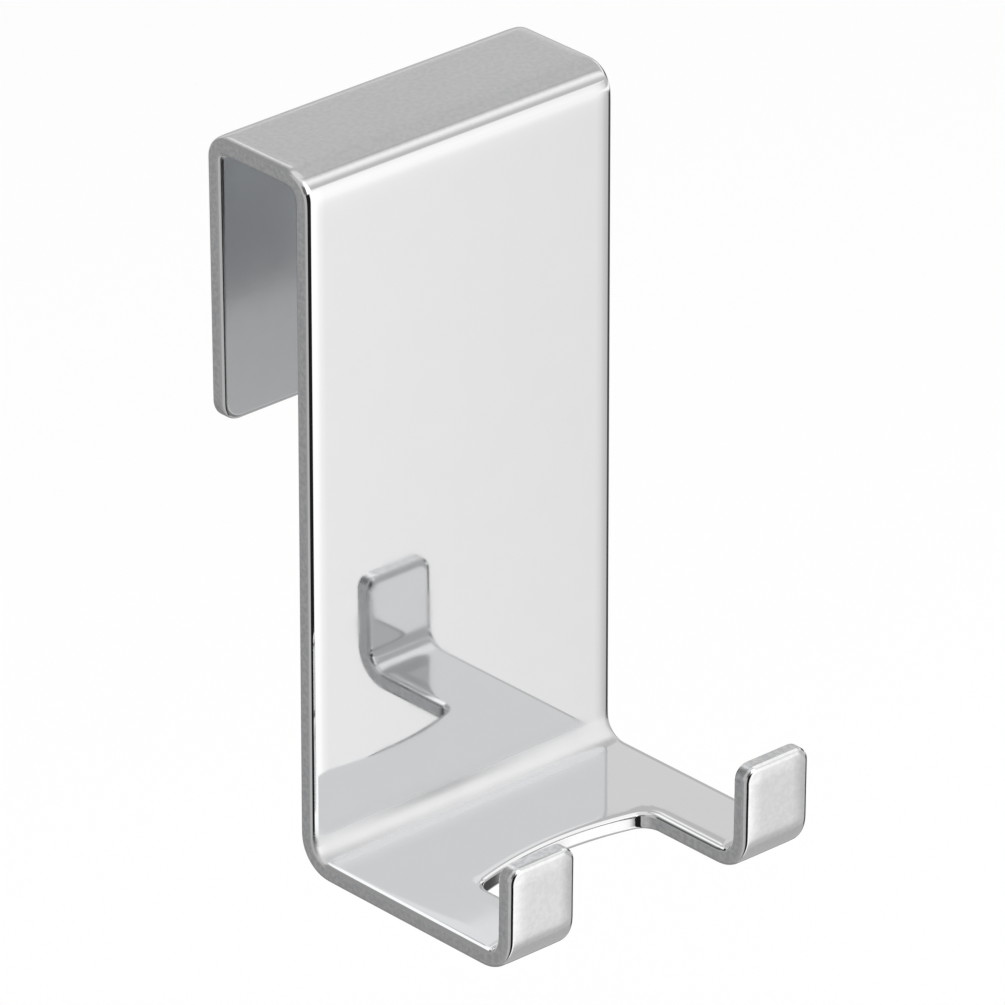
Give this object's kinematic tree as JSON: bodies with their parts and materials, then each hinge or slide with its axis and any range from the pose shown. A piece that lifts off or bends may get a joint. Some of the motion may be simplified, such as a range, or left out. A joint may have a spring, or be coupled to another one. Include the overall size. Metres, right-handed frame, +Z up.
{
  "type": "over door hook",
  "caption": "Over door hook folded from one polished metal strip: a lip and web sit over a thin door, and a forked shelf with turned-up tabs holds what hangs.",
  "frame": {"origin": "middle of the web's underside, the face that sits on the door's top edge", "axes": "+X to the right for someone facing the front plate, +Y from the front of the door to its back, +Z up"},
  "size_m": [0.06, 0.0662, 0.1141],
  "materials": {
    "polished_chrome": "bright chrome plate over polished metal, with rims softened by polishing"
  },
  "bodies": {
    "root": {"hook_strip": "polished_chrome"}
  },
  "joints": []
}
